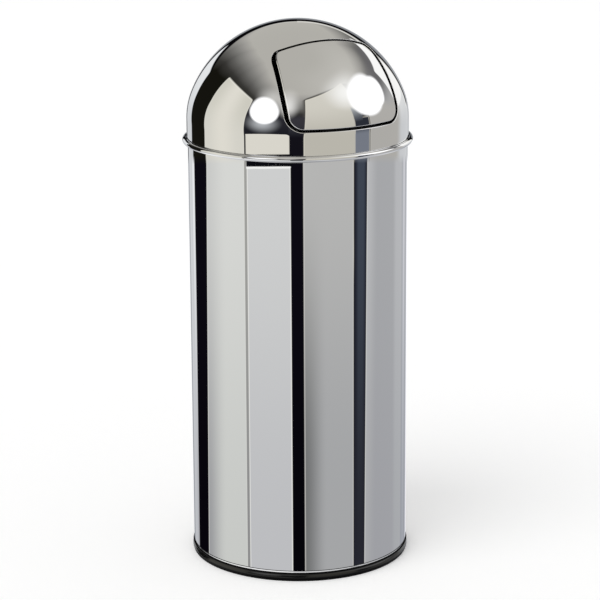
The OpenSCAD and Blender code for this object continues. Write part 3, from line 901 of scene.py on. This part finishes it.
# the same as the body sees them, further down; "side" gives tones at the left edge and their reach
bodyCardFacts = {"up": (-60, 20, 20), "soft": (1.3, 1.0), "fade": (-21.0, -11.6)}
bodyCards = {
    "farLeft": {"round": (-200, -139), "tones": ("b4b6ba", "c8cacd"), "side": ("84868c", "c4c5c8", 40)},
    "farLeftEdge": {"round": (-169, -160.5), "tones": ("8e9197", "9c9ea3"), "soft": (2, 1)},
    "farLeftFlash": {"round": (-146, -139.5), "tones": ("a6a6aa", "e2e3e5"), "soft": (2, 1)},
    "blackLeft": {"round": (-137.3, -109.8), "lean": (0.5, 0.75), "tones": ("07050b", "0c0a12")},
    "warmCard": {"round": (-110.4, -57.2), "lean": (0.75, 0.08), "tones": ("c8cac6", "d6d7d3"),
        "side": ("98999b", "c9cac7", 32), "rim": "efefe9"},
    "cardGap": {"round": (-57.6, -54), "lean": (0.08, 0.08), "tones": ("8d8d8d", "9f9f9b")},
    "coolCard": {"round": (-54.4, -7.6), "lean": (0.08, 0), "tones": ("bdbec0", "cecfce"), "rim": "f2f2ed"},
    "blackFront": {"round": (-7.2, 6.0), "tones": ("06050a", "0d0b13")},
    "greyCard": {"round": (5.4, 59.8), "tones": ("a5a6a7", "b5b5b3"), "side": ("727373", "b6b6b4", 25),
        "rim": "d4d2cd", "fade": (-19, -11.5)},
    "slateDeep": {"round": (60.0, 77.2), "lean": (0, 0.34), "tones": ("24252d", "20222c"), "rim": "15171f"},
    "slateFace": {"round": (64, 74.4), "lean": (0, 0.34), "tones": ("26272f", "3d4450"), "soft": (5, 1)},
    "wallCard": {"round": (77.0, 146), "lean": (0.34, 0), "tones": ("9fa0a4", "a6a7a9"),
        "side": ("a8a9ab", "b7b8b9", 16), "rim": "dededb"},
    "wallLift": {"round": (122, 142), "tones": ("a5a7aa", "b4b5b7"), "soft": (9, 1)},
    "wallFall": {"round": (141, 166), "tones": ("95989f", "a8aaaf"), "soft": (4, 1)},
    "wallFlash": {"round": (145.5, 152), "tones": ("9b9ea5", "c6c7cc"), "soft": (2.5, 1)},
    "farRightWhite": {"round": (163.5, 200), "tones": ("d6d6dc", "f4f5f8"), "soft": (3.5, 1)},
}
# the low card's dark underside: along the dome's edge, and on the body with a bright line under it
undersides = {
    "underDome": {"round": (-55, -5), "up": (-11.36, -11.29, -11.29), "tones": ("0b0b10", "0b0b10"),
        "soft": (1.5, 0.02)},
    "underFlash": {"round": (-55, -7.4), "up": (-11.625, -11.4, -11.4), "tones": ("f4f4f1", "f4f4f1"),
        "soft": (1.5, 0.02)},
    "underBody": {"round": (-55, -5), "up": (-11.575, -11.4, -11.4), "tones": ("0b0b10", "0b0b10"),
        "soft": (1.5, 0.02)},
}
# soft lights and the haze about them: "at" is round and up, "size" half the width and the height
lights = {
    "glowLeft": {"at": (-37, 9), "size": (15, 11), "tone": "dfe3e6", "share": 0.6},
    "glowLeftAbove": {"at": (-33, 42), "size": (13, 9), "tone": "e4e3de", "share": 0.6},
    "glowMiddle": {"at": (-11, 36), "size": (9, 14), "tone": "efeeea", "share": 0.8},
    "glowRightAbove": {"at": (80, 48), "size": (36, 22), "tone": "dcdad4", "share": 0.3},
    "softboxLeft": {"at": (-37.5, 25.4), "size": (17.6, 15.4), "tilt": -65, "soft": 0.14},
    "glowRight": {"at": (67, 40), "size": (19, 14), "tone": "fafaf7", "share": 0.9},
    "softboxRight": {"at": (88, 26.8), "size": (21.8, 18.8), "soft": 0.16},
    "softboxRightSide": {"at": (101.5, 25), "size": (15.4, 11.4), "soft": 0.16},
}
cardFacts = {
    "blur": 0.5,  # half a blurred edge, in widths of "soft"
    "rim": (1.0, 0.4),  # where the rim begins and is full, in the same
    "rimShare": 0.75,
}


smooth = {"interpolation_type": "SMOOTHSTEP"}


def layOver(tree, mask, shown, colour):
    return addNode(tree, "Mix", {0: mask, 6: shown, 7: colour}, data_type="RGBA").outputs[2]


def layCard(tree, shown, card, azimuth, elevation):
    # lays a card over what lies further off, and returns the new colour
    left, right = card["round"]
    low, highLeft, highRight = card["up"]
    softSide, softTop = card["soft"]
    bow, turn = card.get("bow", 0.0), card.get("corner", 0.0)
    corner, blur = max(turn / softSide, 1.0), cardFacts["blur"]
    sides = []
    for side, lean in zip(card["round"], card.get("lean", (0.0, 0.0))):
        start = side - lean * studioFacts["edge"]
        sides.append(addNode(tree, "Math", {0: elevation, 1: lean, 2: start}, operation="MULTIPLY_ADD"))
    fromLeft = addNode(tree, "Math", {0: azimuth, 1: sides[0]}, operation="SUBTRACT")
    fromRight = addNode(tree, "Math", {0: sides[1], 1: azimuth}, operation="SUBTRACT")
    top = addNode(tree, "MapRange", {0: azimuth, 1: left, 2: right, 3: highLeft, 4: highRight})
    if bow:
        ends = {0: azimuth, 1: left, 2: right, 3: -math.sqrt(bow), 4: math.sqrt(bow)}
        off = addNode(tree, "MapRange", ends, clamp=False)
        fall = addNode(tree, "Math", {0: off, 1: off}, operation="MULTIPLY")
        raised = addNode(tree, "Math", {0: top, 1: bow}, operation="ADD")
        top = addNode(tree, "Math", {0: raised, 1: fall}, operation="SUBTRACT")
    # a round corner is wanted at the right only, so the left side is moved out by as much and cut again below
    widened = addNode(tree, "Math", {0: fromLeft, 1: turn}, operation="ADD")
    across = addNode(tree, "Math", {0: widened, 1: fromRight}, operation="MINIMUM")
    fromFoot = addNode(tree, "Math", {0: elevation, 1: low}, operation="SUBTRACT")
    fromTop = addNode(tree, "Math", {0: top, 1: elevation}, operation="SUBTRACT")
    upright = addNode(tree, "Math", {0: fromFoot, 1: fromTop}, operation="MINIMUM")
    sideways = addNode(tree, "Math", {0: across, 1: -1 / softSide, 2: corner}, operation="MULTIPLY_ADD")
    lengthways = addNode(tree, "Math", {0: upright, 1: -1 / softTop, 2: corner}, operation="MULTIPLY_ADD")
    inwards = addNode(tree, "CombineXYZ", {0: sideways, 1: lengthways})
    away = addNode(tree, "VectorMath", {0: inwards, 1: (0, 0, 0)}, operation="MAXIMUM")
    reach = addNode(tree, "VectorMath", {0: away}, operation="LENGTH").outputs["Value"]
    mask = addNode(tree, "MapRange", {0: reach, 1: corner + blur, 2: corner - blur}, **smooth)
    if turn:
        cut = addNode(tree, "MapRange", {0: fromLeft, 1: -blur, 2: blur}, **smooth)
        mask = addNode(tree, "Math", {0: mask, 1: cut}, operation="MULTIPLY")

    foot, crest = card.get("fade", (low, highLeft))
    rise = addNode(tree, "MapRange", {0: elevation, 1: foot, 2: crest}, **smooth)
    tone = layOver(tree, rise, *card["tones"])
    if "side" in card:
        *tones, width = card["side"]
        near = addNode(tree, "MapRange", {0: fromLeft, 1: width, 2: 0}, **smooth)
        tone = layOver(tree, near, tone, layOver(tree, rise, *tones))
    if "middle" in card:
        colour, width = card["middle"]
        centre = addNode(tree, "Math", {0: azimuth, 1: (left + right) / 2}, operation="SUBTRACT")
        off = addNode(tree, "Math", {0: centre}, operation="ABSOLUTE")
        near = addNode(tree, "MapRange", {0: off, 1: width, 2: 0.0}, **smooth)
        tone = layOver(tree, near, tone, colour)
    if "rim" in card:
        outer, inner = (corner - value for value in cardFacts["rim"])
        edge = {0: reach, 1: outer, 2: inner, 4: cardFacts["rimShare"]}
        tone = layOver(tree, addNode(tree, "MapRange", edge, **smooth), tone, card["rim"])
    return layOver(tree, mask, shown, tone)


def layLight(tree, shown, light, azimuth, elevation):
    # lays the round face of a soft light, or the haze about it, over what lies further off
    (az, el), (wide, high) = light["at"], light["size"]
    aside = addNode(tree, "Math", {0: azimuth, 1: az}, operation="SUBTRACT")
    slope = addNode(tree, "Math", {0: elevation}, operation="RADIANS")
    narrowing = addNode(tree, "Math", {0: slope}, operation="COSINE")
    narrowed = addNode(tree, "Math", {0: aside, 1: narrowing}, operation="MULTIPLY")
    above = addNode(tree, "Math", {0: elevation, 1: el}, operation="SUBTRACT")
    flat = addNode(tree, "CombineXYZ", {0: narrowed, 1: above})
    tilt = -math.radians(light.get("tilt", 0.0))
    level = addNode(tree, "VectorRotate", {"Vector": flat, "Angle": tilt}, rotation_type="Z_AXIS")
    scaled = addNode(tree, "VectorMath", {0: level, 1: (1 / wide, 1 / high, 0)}, operation="MULTIPLY")
    reach = addNode(tree, "VectorMath", {0: scaled}, operation="LENGTH").outputs["Value"]
    soft = light.get("soft", 1.0)
    edges = {0: reach, 1: 1 + soft / 2, 2: 1 - soft, 4: light.get("share", 1.0)}
    mask = addNode(tree, "MapRange", edges, **smooth)
    return layOver(tree, mask, shown, light.get("tone", studioFacts["softbox"]))


def ceilingColour(tree, azimuth, elevation):
    full, tall = max(value for place, value in dropStops), ceilingStops[-1][0] + studioFacts["headroom"]
    aside = addNode(tree, "MapRange", {0: azimuth, 1: -180.0, 2: 180.0})
    drop = addNode(tree, "ValToRGB", {0: aside})
    setStops(drop, [((az + 180) / 360, value / full) for az, value in dropStops])
    lowered = addNode(tree, "Math", {0: drop, 1: float(full), 2: elevation}, operation="MULTIPLY_ADD")
    place = addNode(tree, "Math", {0: lowered, 1: 1 / tall}, operation="MULTIPLY")
    ceiling = addNode(tree, "ValToRGB", {0: place})
    setStops(ceiling, [(up / tall, tone) for up, tone in ceilingStops])
    return ceiling.outputs[0]


def layPaper(tree, shown, sideways, elevation):
    # the paper that the bin stands on, as the body sees it
    facts = studioFacts
    low, high = paperStops[0][0], paperStops[-1][0]
    down = addNode(tree, "MapRange", {0: elevation, 1: low, 2: high})
    paper = addNode(tree, "ValToRGB", {0: down})
    setStops(paper, [((up - low) / (high - low), tone) for up, tone in paperStops])
    begins, full = facts["shadeSpan"]
    aside = addNode(tree, "MapRange", {0: sideways, 1: begins, 2: full, 4: facts["shadeShare"]})
    paper = layOver(tree, aside, paper, facts["paperShade"])
    begins, full = facts["paperSpan"]
    span = {0: elevation, 1: begins, 2: full, 4: facts["paperShare"]}
    return layOver(tree, addNode(tree, "MapRange", span, **smooth), shown, paper)


def setUpStudio():
    facts = studioFacts
    world = bpy.data.worlds.new("studioSurround")
    scene.world = world
    world.use_nodes = True
    world.cycles.sampling_method = "NONE"
    tree = world.node_tree
    tree.nodes.clear()
    way = addNode(tree, "TexCoord").outputs["Generated"]
    turn = {"Vector": way, "Angle": math.radians(front)}
    apart = addNode(tree, "SeparateXYZ", {0: addNode(tree, "VectorRotate", turn, rotation_type="Z_AXIS")})
    towards = addNode(tree, "Math", {0: apart.outputs[1], 1: -1.0}, operation="MULTIPLY")
    turned = addNode(tree, "Math", {0: apart, 1: towards}, operation="ARCTAN2")
    azimuth = addNode(tree, "Math", {0: turned}, operation="DEGREES").outputs[0]
    raised = addNode(tree, "Math", {0: apart.outputs[2]}, operation="ARCSINE")
    elevation = addNode(tree, "Math", {0: raised}, operation="DEGREES").outputs[0]

    shown = ceilingColour(tree, azimuth, elevation)
    for card in domeCards.values():
        shown = layCard(tree, shown, card, azimuth, elevation)
    for light in lights.values():
        shown = layLight(tree, shown, light, azimuth, elevation)
    body = shown
    for card in bodyCards.values():
        body = layCard(tree, body, bodyCardFacts | card, azimuth, elevation)
    body = layPaper(tree, body, apart.outputs[0], elevation)
    begins, full = (facts["edge"] + value for value in facts["edgeSpan"])
    split = addNode(tree, "MapRange", {0: elevation, 1: begins, 2: full})
    shown = layOver(tree, split, shown, body)
    for card in undersides.values():
        shown = layCard(tree, shown, card, azimuth, elevation)

    # only mirrored rays see the cards: the camera sees white, and matt surfaces get a plain light
    surround = addNode(tree, "Background", {"Color": shown, "Strength": facts["gain"]})
    plain = addNode(tree, "Background", {"Color": "ffffff", "Strength": facts["plainLight"]})
    white = addNode(tree, "Background", {"Color": "ffffff", "Strength": 1.0})
    path = addNode(tree, "LightPath")
    inside = addNode(tree, "MixShader", {0: path.outputs["Is Glossy Ray"], 1: plain, 2: surround})
    seen = addNode(tree, "MixShader", {0: path.outputs["Is Camera Ray"], 1: inside, 2: white})
    addNode(tree, "OutputWorld", {"Surface": seen})
    print("surround of", len(domeCards) + len(bodyCards) + len(undersides), "cards and", len(lights), "lights")


floorFacts = {
    "size": 30.0,  # metres
    "colour": "f2f2f2",
    "roughness": 0.9,
    "lift": 0.24,  # for the camera alone, so that it shows white
}


def makeFloor():
    # a white paper sweep: matt, with only the soft shadow on it
    facts = floorFacts
    half = facts["size"] / 2
    mesh = bpy.data.meshes.new("paperSweep")
    corners = [(-half, -half, 0), (half, -half, 0), (half, half, 0), (-half, half, 0)]
    mesh.from_pydata(corners, [], [(0, 1, 2, 3)])
    floor = bpy.data.objects.new("paperSweep", mesh)
    scene.collection.objects.link(floor)
    floor.visible_glossy = False
    material, tree, shader = newMaterial("mattWhitePaper")
    path = addNode(tree, "LightPath")
    lift = addNode(tree, "Math", {0: path.outputs["Is Camera Ray"], 1: facts["lift"]}, operation="MULTIPLY")
    setInputs(tree, shader, {"Base Color": facts["colour"], "Roughness": facts["roughness"]})
    setInputs(tree, shader, {"Emission Color": "ffffff", "Emission Strength": lift})
    mesh.materials.append(material)


lampFacts = {
    "power": 0.95,
    "spread": 38.0,  # degrees across
    "round": -40.0,  # round from the camera and up
    "up": 58.0,
}


def makeLamp():
    # one broad soft lamp from the upper left, for the floor's shadow and the matt pieces
    facts = lampFacts
    light = bpy.data.lights.new("broadLamp", "SUN")
    light.energy, light.angle = facts["power"], math.radians(facts["spread"])
    lamp = bpy.data.objects.new("broadLamp", light)
    scene.collection.objects.link(lamp)
    heading, rise = math.radians(facts["round"] - front), math.radians(facts["up"])
    way = Vector((math.sin(heading) * math.cos(rise), -math.cos(heading) * math.cos(rise), math.sin(rise)))
    lamp.rotation_euler = way.to_track_quat("Z", "Y").to_euler()
    lamp.visible_glossy = False


setUpStudio()
makeFloor()
makeLamp()
print("studio made")
